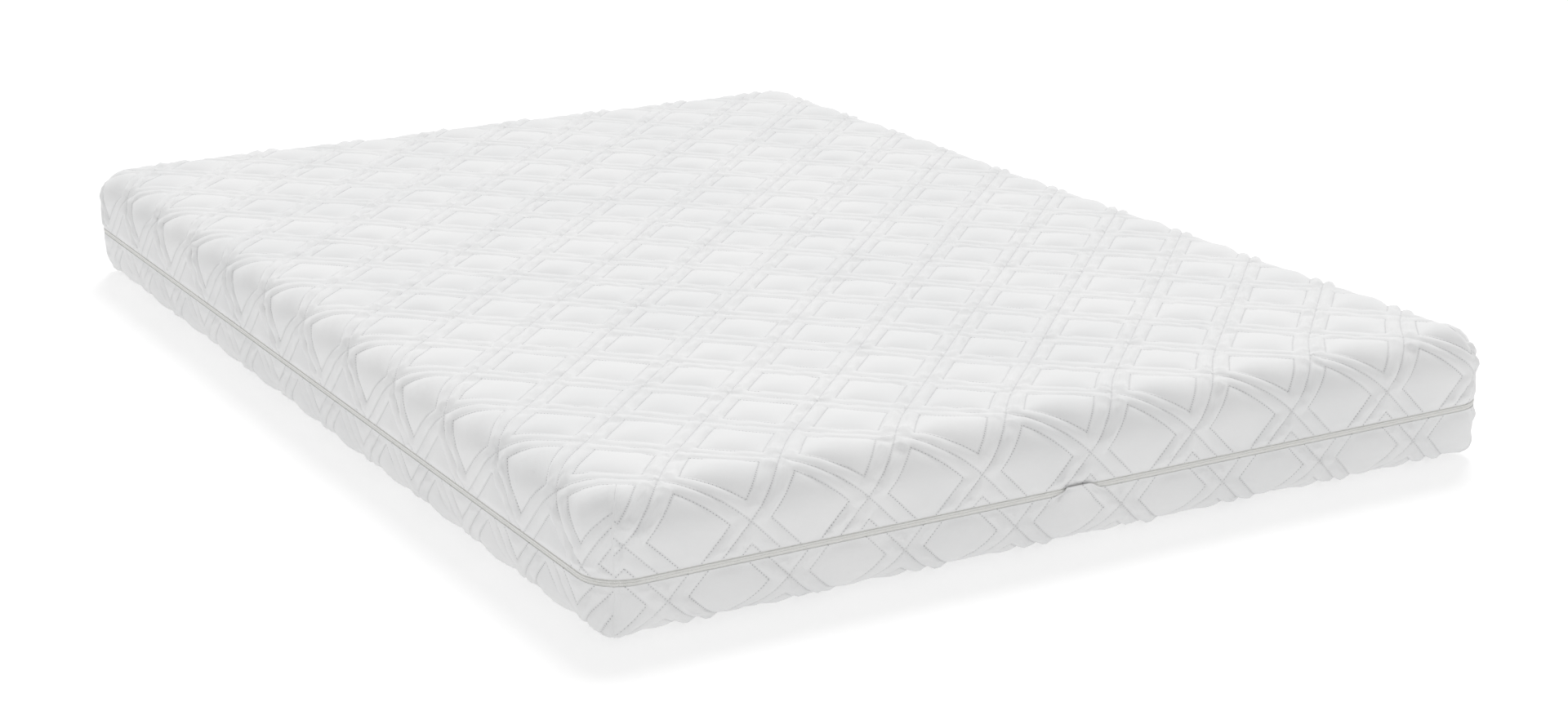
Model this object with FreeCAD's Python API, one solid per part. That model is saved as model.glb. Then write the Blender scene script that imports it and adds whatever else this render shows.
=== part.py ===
"""Memory foam mattress, 140 x 200 cm: a two layer foam core in a quilted cover that a zip divides all round.

Millimetres. The origin is on the floor under the middle of the mattress. X runs across it, Y along it
(-Y is the foot end, where the zip slider is parked) and Z up. Inset means the distance inwards from the
outer surface of the cover, so every layer is the same rounded block with a larger inset.
"""
import FreeCAD, Part
import os

# Overall size of the mattress and the roundings of its cover
WIDTH = 1400.0
LENGTH = 2000.0
HEIGHT = 190.0
CORNER_RADIUS = 60.0
TOP_EDGE_RADIUS = 56.0
BOTTOM_EDGE_RADIUS = 50.0

# Quilted cover: knitted face, fibre wadding and a thin lining behind it
FACE_THICKNESS = 1.0
WADDING_THICKNESS = 8.0
LINING_THICKNESS = 0.5
LAYER_GAP = 0.1
CORE_CLEARANCE = 0.8
LEAST_FLAT = 1.0

# Foam core
MEMORY_FOAM_THICKNESS = 50.0

# Zip between the two halves of the cover
ZIP_HEIGHT = 82.0
ZIP_BAND = 10.0
HEM_HEIGHT = 12.0
TAPE_THICKNESS = 0.6
TAPE_GAP = 2.0
COIL_WIDTH = 2.6
COIL_DEPTH = 2.0
COIL_GAP = 0.1
RUNNING_CLEARANCE = 0.4

# Slider, which has a bail for a cord and no pull tab, and the stops at the end of the coils
SLIDER_LENGTH = 14.0
SLIDER_WIDTH = 9.2
SLIDER_TAIL_WIDTH = 7.8
SLIDER_PLATE = 1.4
SLIDER_RIM = 0.8
DIVIDER_WIDTH = 1.4
DIVIDER_LENGTH = 4.5
BAIL_WIDTH = 2.4
BAIL_LENGTH = 8.0
STOP_LENGTH = 4.0
SLIDER_CORNER = 1.2
SHOULDER_SHARE = 0.45
BAIL_CORNER_SHARE = 0.6
BAIL_LEG_SHARE = 0.22
BAIL_THICKNESS_SHARE = 0.45

# Flap that hides the parked slider, at the middle of the foot end
GARAGE_MIDDLE = -11.0
GARAGE_LENGTH = 52.0

# Corner seams and the label sewn inside the lower cover
SEAM_WIDTH = 2.0
SEAM_OVER_EDGE = 25.0
LABEL_WIDTH = 50.0
LABEL_HEIGHT = 26.0
LABEL_THICKNESS = 0.2
LABEL_X = 120.0

# Insets, heights and places worked out from the sizes above
wadding_inset = FACE_THICKNESS + LAYER_GAP
wadding_back = wadding_inset + WADDING_THICKNESS
lining_inset = wadding_back + LAYER_GAP
lining_back = lining_inset + LINING_THICKNESS
core_inset = lining_back + CORE_CLEARANCE

slider_back = lining_back
tape_back = slider_back - SLIDER_PLATE - RUNNING_CLEARANCE
tape_front = tape_back - TAPE_THICKNESS
coil_front = tape_front - COIL_DEPTH
slider_front = coil_front - RUNNING_CLEARANCE - SLIDER_PLATE
bail_front = FACE_THICKNESS + RUNNING_CLEARANCE
hem_front = tape_front - FACE_THICKNESS

upper_lip = ZIP_HEIGHT + ZIP_BAND / 2
lower_lip = ZIP_HEIGHT - ZIP_BAND / 2
upper_hem = upper_lip + HEM_HEIGHT
lower_hem = lower_lip - HEM_HEIGHT
foam_joint = HEIGHT - core_inset - MEMORY_FOAM_THICKNESS

slider_start = GARAGE_MIDDLE - SLIDER_LENGTH / 2 - STOP_LENGTH / 2
slider_end = slider_start + SLIDER_LENGTH
stop_end = slider_start - RUNNING_CLEARANCE
stop_start = stop_end - STOP_LENGTH
coil_start = slider_end + RUNNING_CLEARANCE
coil_end = stop_start - LAYER_GAP


def rounded_prism(inset, low, high):
    """The mattress's plan outline, drawn in by inset, between two heights."""
    width = WIDTH - 2 * inset
    length = LENGTH - 2 * inset
    corner = FreeCAD.Vector(-width / 2, -length / 2, low)
    prism = Part.makeBox(width, length, high - low, corner)
    upright = [edge for edge in prism.Edges if abs(edge.tangentAt(edge.FirstParameter).z) > 0.5]
    return prism.makeFillet(CORNER_RADIUS - inset, upright)


def edges_at(solid, height):
    """The edges of a solid that lie wholly at one height."""
    return [edge for edge in solid.Edges
            if abs(edge.BoundBox.ZMin - height) < 1e-3 and abs(edge.BoundBox.ZMax - height) < 1e-3]


def rounded_block(inset):
    """The whole mattress drawn in by inset, with its top and bottom edges rounded."""
    low = inset
    high = HEIGHT - inset
    largest = CORNER_RADIUS - inset - LEAST_FLAT
    block = rounded_prism(inset, low, high)
    block = block.makeFillet(min(TOP_EDGE_RADIUS - inset, largest), edges_at(block, high))
    return block.makeFillet(min(BOTTOM_EDGE_RADIUS - inset, largest), edges_at(block, low))


def between(low, high):
    """A slab wider than the mattress, between two heights."""
    margin = CORNER_RADIUS
    corner = FreeCAD.Vector(-WIDTH / 2 - margin, -LENGTH / 2 - margin, low)
    return Part.makeBox(WIDTH + 2 * margin, LENGTH + 2 * margin, high - low, corner)


def shell(front, back):
    """A closed layer all round the mattress, from one inset to a larger one."""
    return rounded_block(front).cut(rounded_block(back))


def band(front, back, low, high):
    """A ring that follows the walls of the mattress, between two insets and two heights."""
    return rounded_prism(front, low, high).cut(rounded_prism(back, low, high))


def foot_box(left, right, low, high, front, back):
    """A box in the wall at the foot end, given by its X and Z limits and its two insets."""
    corner = FreeCAD.Vector(left, -LENGTH / 2 + front, low)
    return Part.makeBox(right - left, back - front, high - low, corner)


def foot_plate(outline, front, back):
    """A plate in the wall at the foot end: a closed outline in X and Z, thick from one inset to another."""
    face = Part.Face(Part.Wire(outline))
    face.translate(FreeCAD.Vector(0, -LENGTH / 2 + front, 0))
    return face.extrude(FreeCAD.Vector(0, back - front, 0))


def point(x, z):
    """A point of an outline in the wall at the foot end."""
    return FreeCAD.Vector(x, 0, z)


def polygon(points):
    """The straight edges of a closed outline."""
    return [Part.LineSegment(a, b).toShape() for a, b in zip(points, points[1:] + points[:1])]


def corner_strips(low, high):
    """Four upright strips, one across the middle of each corner of the plan outline."""
    reach = CORNER_RADIUS
    strips = []
    for side_x in (-1, 1):
        for side_y in (-1, 1):
            strip = Part.makeBox(reach, SEAM_WIDTH, high - low, FreeCAD.Vector(0, -SEAM_WIDTH / 2, low))
            angle = {(1, 1): 45, (-1, 1): 135, (-1, -1): 225, (1, -1): 315}[(side_x, side_y)]
            strip.rotate(FreeCAD.Vector(0, 0, 0), FreeCAD.Vector(0, 0, 1), angle)
            centre_x = side_x * (WIDTH / 2 - CORNER_RADIUS)
            centre_y = side_y * (LENGTH / 2 - CORNER_RADIUS)
            strip.translate(FreeCAD.Vector(centre_x, centre_y, 0))
            strips.append(strip)
    return Part.Compound(strips)


def cover_half(low, high, lip, hem, seam_low, seam_high):
    """The layers of one half of the cover: face with its turned hem, wadding, lining and corner seams."""
    part = between(low, high)
    past_hem = hem + LAYER_GAP if hem > lip else hem - LAYER_GAP
    beyond_hem = between(past_hem, high) if hem > lip else between(low, past_hem)
    turn = lip + FACE_THICKNESS if hem > lip else lip - FACE_THICKNESS
    pocket = turn + LAYER_GAP if hem > lip else turn - LAYER_GAP

    face_shell = shell(0.0, FACE_THICKNESS).common(part)
    seams = face_shell.common(corner_strips(seam_low, seam_high))
    face = face_shell.cut(corner_strips(seam_low, seam_high))
    inside_face = FACE_THICKNESS / 2
    face = face.fuse(band(inside_face, tape_front, *sorted((lip, turn))))
    face = face.fuse(band(hem_front, tape_front, *sorted((lip, hem))))

    wadding = shell(wadding_inset, wadding_back).common(beyond_hem)
    wadding = wadding.fuse(band(wadding_inset, hem_front - LAYER_GAP, *sorted((pocket, past_hem))))

    lining = shell(lining_inset, lining_back).common(part)
    lining = lining.common(between(turn, high) if hem > lip else between(low, turn))
    return face.removeSplitter(), wadding.removeSplitter(), lining, seams


def zip_half(side):
    """The tape and the coil of one side of the zip: side is 1 above the middle of the zip and -1 below."""
    tape_edge = ZIP_HEIGHT + side * TAPE_GAP / 2
    tape_end = upper_hem if side > 0 else lower_hem
    tape = band(tape_front, tape_back, *sorted((tape_edge, tape_end)))
    coil_edge = ZIP_HEIGHT + side * COIL_GAP / 2
    coil_levels = sorted((coil_edge, coil_edge + side * COIL_WIDTH))
    coil = band(coil_front, tape_front, *coil_levels)
    gap = foot_box(coil_end, coil_start, coil_levels[0] - 1, coil_levels[1] + 1, 0, tape_front + 1)
    return tape, coil.cut(gap)


def zip_stop(side):
    """A clip bent round the edge of one tape, at the end of its coil."""
    near = ZIP_HEIGHT + side * COIL_GAP / 2
    far = near + side * (COIL_WIDTH + COIL_GAP)
    back = tape_back + FACE_THICKNESS / 2
    clip = foot_box(stop_start, stop_end, *sorted((near, far)), coil_front, back)
    slot_edge = ZIP_HEIGHT + side * TAPE_GAP / 2
    slot_levels = sorted((slot_edge, far + side))
    slot = foot_box(stop_start - 1, stop_end + 1, *slot_levels, tape_front, tape_back)
    return clip.cut(slot)


def slider_outline(shrink):
    """The slider's plate seen from in front, wide where the coils part and narrow behind."""
    wide = SLIDER_WIDTH / 2 - shrink
    narrow = SLIDER_TAIL_WIDTH / 2 - shrink
    shoulder = slider_start + SLIDER_LENGTH * SHOULDER_SHARE
    return polygon([
        point(slider_start, ZIP_HEIGHT - wide),
        point(shoulder, ZIP_HEIGHT - wide),
        point(slider_end, ZIP_HEIGHT - narrow),
        point(slider_end, ZIP_HEIGHT + narrow),
        point(shoulder, ZIP_HEIGHT + wide),
        point(slider_start, ZIP_HEIGHT + wide),
    ])


def softened(plate, radius):
    """A plate with the edges that run through its thickness rounded."""
    through = [edge for edge in plate.Edges if abs(edge.tangentAt(edge.FirstParameter).y) > 0.5]
    return plate.makeFillet(radius, through)


def make_slider():
    """Two plates joined by the divider, rims that hold the coils, and the bail in front."""
    plate_back = slider_front + SLIDER_PLATE
    front = softened(foot_plate(slider_outline(0.0), slider_front, plate_back), SLIDER_CORNER)
    back = foot_plate(slider_outline(0.0), slider_back - SLIDER_PLATE, slider_back)
    back = softened(back, SLIDER_CORNER)
    rim_back = tape_front - RUNNING_CLEARANCE
    rim = softened(foot_plate(slider_outline(0.0), plate_back, rim_back), SLIDER_CORNER)
    rim = rim.cut(foot_plate(slider_outline(SLIDER_RIM), plate_back - 1, rim_back + 1))

    divider_left = slider_start + SLIDER_RIM
    divider_right = divider_left + DIVIDER_LENGTH
    half = DIVIDER_WIDTH / 2
    nose = point(divider_left, ZIP_HEIGHT)
    tip = point(divider_right, ZIP_HEIGHT)
    upper = point(divider_left + half, ZIP_HEIGHT + half)
    lower = point(divider_left + half, ZIP_HEIGHT - half)
    edges = [
        Part.Arc(upper, nose, lower).toShape(),
        Part.LineSegment(lower, tip).toShape(),
        Part.LineSegment(tip, upper).toShape(),
    ]
    divider = foot_plate(edges, slider_front, slider_back)

    bail_left = (slider_start + slider_end - BAIL_LENGTH) / 2
    bail_right = bail_left + BAIL_LENGTH
    rise = slider_front - bail_front
    bail = foot_box(bail_left, bail_right, ZIP_HEIGHT - BAIL_WIDTH / 2, ZIP_HEIGHT + BAIL_WIDTH / 2,
                    bail_front, slider_front)
    corners = [edge for edge in bail.Edges
               if abs(edge.BoundBox.YMax - (-LENGTH / 2 + bail_front)) < 1e-3
               and edge.BoundBox.ZLength > BAIL_WIDTH / 2]
    bail = bail.makeFillet(rise * BAIL_CORNER_SHARE, corners)
    leg = BAIL_LENGTH * BAIL_LEG_SHARE
    eye = foot_box(bail_left + leg, bail_right - leg, ZIP_HEIGHT - BAIL_WIDTH, ZIP_HEIGHT + BAIL_WIDTH,
                   bail_front + rise * BAIL_THICKNESS_SHARE, slider_front)
    slider = front.fuse([back, rim, divider, bail.cut(eye)])
    return slider.removeSplitter()


def make_garage():
    """The raised stretch of the lower lip, a low arch that stands in front of the slider."""
    left = GARAGE_MIDDLE - GARAGE_LENGTH / 2
    right = GARAGE_MIDDLE + GARAGE_LENGTH / 2
    crest = upper_lip - RUNNING_CLEARANCE
    arch = Part.Arc(point(left, lower_lip), point(GARAGE_MIDDLE, crest), point(right, lower_lip)).toShape()
    base = Part.LineSegment(point(right, lower_lip), point(left, lower_lip)).toShape()
    return foot_plate([arch, base], 0.0, FACE_THICKNESS)


def make_label():
    """A blank care label that hangs from the zip seam inside the lower cover."""
    low = lower_lip - FACE_THICKNESS - LABEL_HEIGHT
    front = lining_back + LAYER_GAP / 2
    return foot_box(LABEL_X, LABEL_X + LABEL_WIDTH, low, low + LABEL_HEIGHT, front, front + LABEL_THICKNESS)


def make_core():
    """The memory foam layer and the support foam under it, pressed round by the cover."""
    core = rounded_block(core_inset)
    memory_foam = core.common(between(foam_joint, HEIGHT))
    support_foam = core.common(between(0.0, foam_joint))
    return memory_foam, support_foam


def save(name, shape):
    """Writes one sub-part, as a single solid or as separate solids, and says how large it is."""
    solids = shape.Solids
    result = solids[0] if len(solids) == 1 else Part.Compound(solids)
    if not result.isValid():
        raise RuntimeError(name + " is not a valid shape")
    result.exportStep("parts/" + name + ".step")
    print(f"{name}: {len(solids)} solid(s), {result.Volume / 1000:.1f} cm3")


os.makedirs("parts", exist_ok=True)

top_face, top_wadding, top_lining, top_seams = cover_half(
    upper_lip, HEIGHT, upper_lip, upper_hem,
    upper_lip + FACE_THICKNESS, HEIGHT - TOP_EDGE_RADIUS + SEAM_OVER_EDGE)
bottom_face, bottom_wadding, bottom_lining, bottom_seams = cover_half(
    0.0, lower_lip, lower_lip, lower_hem,
    BOTTOM_EDGE_RADIUS - SEAM_OVER_EDGE, lower_lip - FACE_THICKNESS)
upper_tape, upper_coil = zip_half(1)
lower_tape, lower_coil = zip_half(-1)
memory_foam, support_foam = make_core()

save("top_cover_fabric", top_face)
save("top_cover_wadding", top_wadding)
save("top_cover_lining", top_lining)
save("top_cover_corner_seams", top_seams)
save("bottom_cover_fabric", bottom_face)
save("bottom_cover_wadding", bottom_wadding)
save("bottom_cover_lining", bottom_lining)
save("bottom_cover_corner_seams", bottom_seams)
save("zip_tape_upper", upper_tape)
save("zip_tape_lower", lower_tape)
save("zip_coil_upper", upper_coil)
save("zip_coil_lower", lower_coil)
save("zip_stop_upper", zip_stop(1))
save("zip_stop_lower", zip_stop(-1))
save("zip_slider", make_slider())
save("zip_garage", make_garage())
save("care_label", make_label())
save("memory_foam_layer", memory_foam)
save("support_foam_core", support_foam)
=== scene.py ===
import math

import bmesh
import bpy
import numpy as np
from mathutils import Matrix, Vector
from mathutils.geometry import delaunay_2d_cdt


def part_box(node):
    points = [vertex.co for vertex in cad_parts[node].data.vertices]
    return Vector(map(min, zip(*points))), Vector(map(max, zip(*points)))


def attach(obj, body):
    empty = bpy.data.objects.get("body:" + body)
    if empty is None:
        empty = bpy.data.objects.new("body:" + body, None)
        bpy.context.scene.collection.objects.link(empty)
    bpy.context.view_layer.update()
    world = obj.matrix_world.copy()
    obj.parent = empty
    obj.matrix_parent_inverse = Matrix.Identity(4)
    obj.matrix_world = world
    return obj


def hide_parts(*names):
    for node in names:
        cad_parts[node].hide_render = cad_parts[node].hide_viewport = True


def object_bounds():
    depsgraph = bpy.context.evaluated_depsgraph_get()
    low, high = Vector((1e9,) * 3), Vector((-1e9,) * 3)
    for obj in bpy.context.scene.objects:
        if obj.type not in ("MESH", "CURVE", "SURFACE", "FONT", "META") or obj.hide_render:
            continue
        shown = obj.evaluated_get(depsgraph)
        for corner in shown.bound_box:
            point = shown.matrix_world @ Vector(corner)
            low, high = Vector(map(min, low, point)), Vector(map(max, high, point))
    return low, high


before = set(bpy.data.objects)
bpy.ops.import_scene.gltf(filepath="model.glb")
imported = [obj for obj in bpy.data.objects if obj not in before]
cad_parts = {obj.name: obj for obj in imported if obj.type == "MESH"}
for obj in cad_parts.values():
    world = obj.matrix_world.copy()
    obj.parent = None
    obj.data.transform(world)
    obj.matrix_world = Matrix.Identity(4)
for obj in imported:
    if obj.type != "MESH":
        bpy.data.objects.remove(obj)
CAD_LOW, CAD_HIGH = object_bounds()

MM = 0.001
QUARTER = math.pi / 2
SHARP_ANGLE = 55

# The block and the layers under its surface
HALF_WIDTH = CAD_HIGH.x
HALF_LENGTH = CAD_HIGH.y
HEIGHT = CAD_HIGH.z
STITCH_DEPTH = 4.5 * MM
CORNER_RADIUS = 60 * MM
TOP_EDGE_RADIUS = 56 * MM
BOTTOM_EDGE_RADIUS = 50 * MM
QUILT_BACK = 9.1 * MM
LINING_FACE = 9.2 * MM
LINING_BACK = 9.7 * MM
FOAM_DEPTH = 10.5 * MM
FOAM_STEPS = 10

# The quilting
CELL_WIDTH = 165.3 * MM
CELL_LENGTH = 169.5 * MM
PITCH = 118.3 * MM
CHANNEL = 20 * MM
PILLOW_HEIGHT = 6.5 * MM
RIDGE_HEIGHT = 4.4 * MM
LONG_RIDGE_GAIN = 0.35
QUICK_LIMIT = 6.0 * MM
EDGE_FADE = 60 * MM
EDGE_THINNING = 0.12
QUILT_SINK = 1.4 * MM
ROLL = 0.9 * MM
ROLL_LENGTH = 420 * MM
DRIFT_START = 70 * MM
DRIFT_LENGTH = 180 * MM
STITCH_STEP = 4.45 * MM
STITCH_LENGTH = 4.0 * MM
THREAD_WIDTH = 0.6 * MM
THREAD_SINK = 0.15 * MM
THREAD_RISE = 0.5 * MM
STITCH_SKEW = 0.12
CELL_MARKS = np.array([0, 3, 7, 13, 17, 20, 23, 30, 42]) * MM
STATIONS = 2 * len(CELL_MARKS)
CELLS_OUT = 13
HALVINGS = 30

# The cloth that is blown up between the stitches
CLOTH_STEPS = 59
CLOTH_CELLS = 3
CLOTH_FRAMES = 26
CLOTH_LIMIT = 7.0 * MM
CHANNEL_SLACK = 0.85
PILLOW_SLACK = 0.12
TOP_SHARE = 0.93
CLOTH_SETTINGS = {
    "quality": 6,
    "mass": 0.15,
    "tension_stiffness": 12,
    "compression_stiffness": 12,
    "shear_stiffness": 4,
    "bending_stiffness": 0.08,
    "air_damping": 1,
    "vertex_group_mass": "sewn",
    "vertex_group_shrink": "slack",
    "shrink_min": -0.012,
    "shrink_max": -0.08,
    "use_pressure": True,
    "uniform_pressure_force": 15.0,
}

# The stretch of the lower lip that hides the slider
GARAGE_LOW, GARAGE_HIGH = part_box("zip_garage")
GARAGE_LEFT = GARAGE_LOW.x + 1 * MM
GARAGE_RIGHT = GARAGE_HIGH.x
GARAGE_FOLD = 5 * MM
GARAGE_FADE = 26 * MM
GARAGE_RISE = 10.6 * MM
GARAGE_PUSH = 4.2 * MM
GARAGE_THICKNESS = 1.1 * MM
THIN_FADE = 4 * MM
FOLD_WIDTH = 0.9 * MM
FOLD_HEIGHT = 1.5 * MM
FOLD_DROP = 0.6 * MM

# The zip: the ends of its coils, either side of the slider, their loops and cords, and the tapes
COIL_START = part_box("zip_slider")[1].x + 0.4 * MM
COIL_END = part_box("zip_stop_upper")[0].x - 0.1 * MM
LOOP_PITCH = 1.7 * MM
LOOP_DEPTH = 0.8 * MM
LOOP_BASE_SHARE = 0.46
LOOP_CREST_SHARE = 0.16
LOOP_SLANT_SHARE = 0.3
LOOP_CREST_HEIGHT = 0.72
CORD_FRONT = 0.7 * MM
CORD_BACK = 1.9 * MM
CORD_STEPS = 500
TAPE_THICKNESS = 0.6 * MM
RIB_SPACING = 0.45 * MM

# The care label
LABEL_COLUMNS = 26
LABEL_ROWS = 14
LABEL_GAP = 0.05 * MM
LABEL_THICKNESS = 0.18 * MM
LABEL_WAVE = 0.12 * MM
LABEL_WAVE_LENGTH = 21 * MM

# The lips beside the zip
LIP_GAP = 2.2 * MM
UPPER_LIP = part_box("zip_coil_upper")[1].z + LIP_GAP
LOWER_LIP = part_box("zip_coil_lower")[0].z - LIP_GAP
LIP_CURL = 13 * MM
LIP_LEVEL = -0.9 * MM
LIP_CUTS = np.array([12, 8, 5, 2.5]) * MM
SEAM_CUTS = np.array([7, 3]) * MM
SEAM_TURN = math.radians(12)
SEAM_CURL = 9 * MM
SEAM_LEVEL = -1.3 * MM
SEAM_FADE = 50 * MM
SEAM_START = 12 * MM
SEAM_WIDTH = 1.3 * MM
SEAM_SINK = 0.5 * MM
EAR_REACH = 24 * MM
EAR_SIZE = 9 * MM
EAR_OUT = 0.75
EAR_DOWN = 0.6
FLOOR_GAP = 0.4 * MM
INNER_SPACING = 45 * MM
INNER_START = 8 * MM


class Half:
    """One half of the cover: which way it faces, its edge radius, its lip and its lattice."""

    def __init__(self, up, edge, lip, start, slide, drift, seed):
        self.up = up
        self.base = HEIGHT - STITCH_DEPTH if up > 0 else STITCH_DEPTH
        self.edge = edge - STITCH_DEPTH
        self.start = start
        self.slide = slide
        self.drift = drift
        self.seed = seed
        self.width = HALF_WIDTH - CORNER_RADIUS
        self.length = HALF_LENGTH - CORNER_RADIUS
        self.corner = CORNER_RADIUS - STITCH_DEPTH
        self.flat = self.corner - self.edge
        depth = up * (self.base - lip)
        self.reach = self.flat + self.edge * QUARTER + depth - self.edge


TOP = Half(1, TOP_EDGE_RADIUS, UPPER_LIP, (55 * MM, 63 * MM), (34 * MM, 8 * MM), 6 * MM, 11)
BOTTOM = Half(-1, BOTTOM_EDGE_RADIUS, LOWER_LIP, (58 * MM, -3.5 * MM), (0.0, 0.0), 0.0, 23)


def smooth(x):
    """0 below 0, 1 above 1, and a smooth rise between."""
    x = np.clip(x, 0, 1)
    return x * x * (3 - 2 * x)


def ripple(x, y, length, seed):
    """A smooth random field between about -1 and 1 with waves about length long."""
    rng = np.random.default_rng(seed)
    total = np.zeros_like(x)
    waves = 7
    for _ in range(waves):
        turn = rng.uniform(0, math.tau)
        rate = math.tau / (length * rng.uniform(0.7, 1.5))
        phase = rng.uniform(0, math.tau)
        total += np.sin(rate * (x * math.cos(turn) + y * math.sin(turn)) + phase)
    return total / math.sqrt(waves)


def linked(name, data):
    """A new object in the scene."""
    obj = bpy.data.objects.new(name, data)
    bpy.context.collection.objects.link(obj)
    return obj


def mesh_object(name, places, faces, material=None):
    """A new smooth-shaded object from points and faces."""
    mesh = bpy.data.meshes.new(name)
    mesh.from_pydata(np.asarray(places).tolist(), [], faces)
    mesh.update()
    mesh.shade_smooth()
    if material is not None:
        mesh.materials.append(material)
    return linked(name, mesh)


def sides_of(u, v):
    """-1 or 1 by the side of the block that fabric points are on, across and along."""
    return np.where(u < 0, -1.0, 1.0), np.where(v < 0, -1.0, 1.0)


def edge_places(half, u, v):
    """How far fabric points lie over the nearest edge, and along it past the corner's centre."""
    a = np.abs(u) - half.width
    b = np.abs(v) - half.length
    return np.maximum(a, b), np.minimum(a, b), a >= b


def plan_radius(half, s):
    """Distance from the corner's centre in plan at s over the edge, and the angle turned down."""
    turn = np.clip((s - half.flat) / half.edge, 0, QUARTER)
    radius = np.where(s > half.flat, half.flat + half.edge * np.sin(turn), s)
    return radius, turn


def wrap(half, u, v, h):
    """Places of fabric points on the rounded block, h above the stitched-down level, and normals."""
    s, t, across = edge_places(half, u, v)
    radius, turn = plan_radius(half, s)
    drop = half.edge * (1 - np.cos(turn)) + np.maximum(0, s - half.flat - half.edge * QUARTER)
    swing = np.where(t > 0, t / np.maximum(radius, 1e-6), 0)
    reach = radius + np.sin(turn) * h
    main = reach * np.cos(swing)
    cross = np.where(t > 0, reach * np.sin(swing), t)
    x = np.where(across, main, cross) + half.width
    y = np.where(across, cross, main) + half.length
    z = half.base - half.up * drop + half.up * np.cos(turn) * h
    out_main = np.sin(turn) * np.cos(swing)
    out_cross = np.sin(turn) * np.sin(swing)
    side_u, side_v = sides_of(u, v)
    normal = np.stack(
        [
            side_u * np.where(across, out_main, out_cross),
            side_v * np.where(across, out_cross, out_main),
            half.up * np.cos(turn),
        ],
        axis=-1,
    )
    return np.stack([side_u * x, side_v * y, z], axis=-1), normal


def to_fabric(half, p, q):
    """Fabric places of lattice coordinates, with the drift of the quilting over the foot edge."""
    u = half.start[0] + CELL_WIDTH / 2 * (p + q)
    v = half.start[1] + CELL_LENGTH / 2 * (p - q)
    over_foot = smooth((-v - half.length + DRIFT_START) / DRIFT_LENGTH)
    over_left = smooth((-u - half.width + DRIFT_START) / DRIFT_LENGTH)
    return u + half.slide[0] * over_foot - half.drift * over_left, v + half.slide[1] * over_foot


def seam_distance(half, u, v):
    """Distance along the fabric from the corner seam."""
    s, t, across = edge_places(half, u, v)
    radius, _ = plan_radius(half, s)
    share = QUARTER / 2 + np.where(across, SEAM_TURN, -SEAM_TURN)
    return np.where(s > 0, np.maximum(radius, 0) * share - t, 1.0)


def lip_rise(half, u, v):
    """How far the lower lip is drawn up over the parked slider, from 0 to 1."""
    if half.up > 0:
        return np.zeros_like(u)
    foot = (v < -half.length) & (np.abs(u) < half.width)
    left = smooth((u - GARAGE_LEFT) / GARAGE_FOLD)
    right = smooth((GARAGE_RIGHT + GARAGE_FADE / 2 - u) / GARAGE_FADE)
    return np.where(foot, left * right, 0.0)


def lip_place(half, u, v):
    """How far over the edge the fabric reaches."""
    return half.reach + GARAGE_RISE * lip_rise(half, u, v)


def outside(half, u, v):
    """Below 0 where there is fabric: short of the lip and of the corner dart."""
    s, t, _ = edge_places(half, u, v)
    dart = np.where(s > 0, 0.05 * MM - seam_distance(half, u, v), t)
    return np.maximum(s - lip_place(half, u, v), dart)


def cell_random(i, j, seed):
    """One repeatable number from 0 to 1 for each lattice cell."""
    mixed = np.sin(i * 127.1 + j * 311.7 + seed * 74.7) * 43758.5453
    return mixed - np.floor(mixed)


def quads_at(rows, columns, count):
    """Corners of the squares at those rows and columns of a grid with count points in a row."""
    corner = rows * count + columns
    return np.stack([corner, corner + count, corner + count + 1, corner + 1], axis=1)


def sewn_grid():
    """A square of cloth points over one lattice cell, their distances from its edges, and the sewn."""
    axis = np.arange(CLOTH_STEPS + 1) * PITCH / CLOTH_STEPS
    x, y = np.meshgrid(axis, axis, indexing="ij")
    dx = np.minimum(x, PITCH - x)
    dy = np.minimum(y, PITCH - y)
    half_step = PITCH / CLOTH_STEPS / 2
    border = np.minimum(dx, dy) < half_step
    outline = (np.abs(dx - CHANNEL) < half_step) & (dy > CHANNEL - half_step)
    outline |= (np.abs(dy - CHANNEL) < half_step) & (dx > CHANNEL - half_step)
    return x, y, dx, dy, border | outline


def cloth_object(x, y, dx, dy, sewn):
    """The flat cells side by side as one mesh, with its sewn points and its slack as vertex groups."""
    count = CLOTH_STEPS + 1
    places = []
    faces = []
    slack = []
    for k in range(CLOTH_CELLS):
        start = ripple(x, y, 45 * MM, 300 + k)
        lift = np.where(sewn, 0, (0.6 + 0.3 * start) * MM)
        places.append(np.stack([x + k * 2 * PITCH, y, lift], axis=-1).reshape(-1, 3))
        rows, columns = np.indices((count - 1, count - 1))
        faces.append(quads_at(rows.ravel(), columns.ravel(), count) + k * count * count)
        channel = np.where(np.minimum(dx, dy) < CHANNEL, CHANNEL_SLACK, PILLOW_SLACK)
        slack.append(np.clip(channel + 0.13 * ripple(x, y, 30 * MM, 400 + k), 0, 1).ravel())
    obj = mesh_object("cloth_cells", np.concatenate(places), np.concatenate(faces).tolist())
    pin = obj.vertex_groups.new(name="sewn")
    pin.add(np.nonzero(np.tile(sewn.ravel(), CLOTH_CELLS))[0].tolist(), 1.0, "REPLACE")
    loose = obj.vertex_groups.new(name="slack")
    for index, weight in enumerate(np.concatenate(slack).tolist()):
        loose.add([index], weight, "REPLACE")
    return obj


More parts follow.
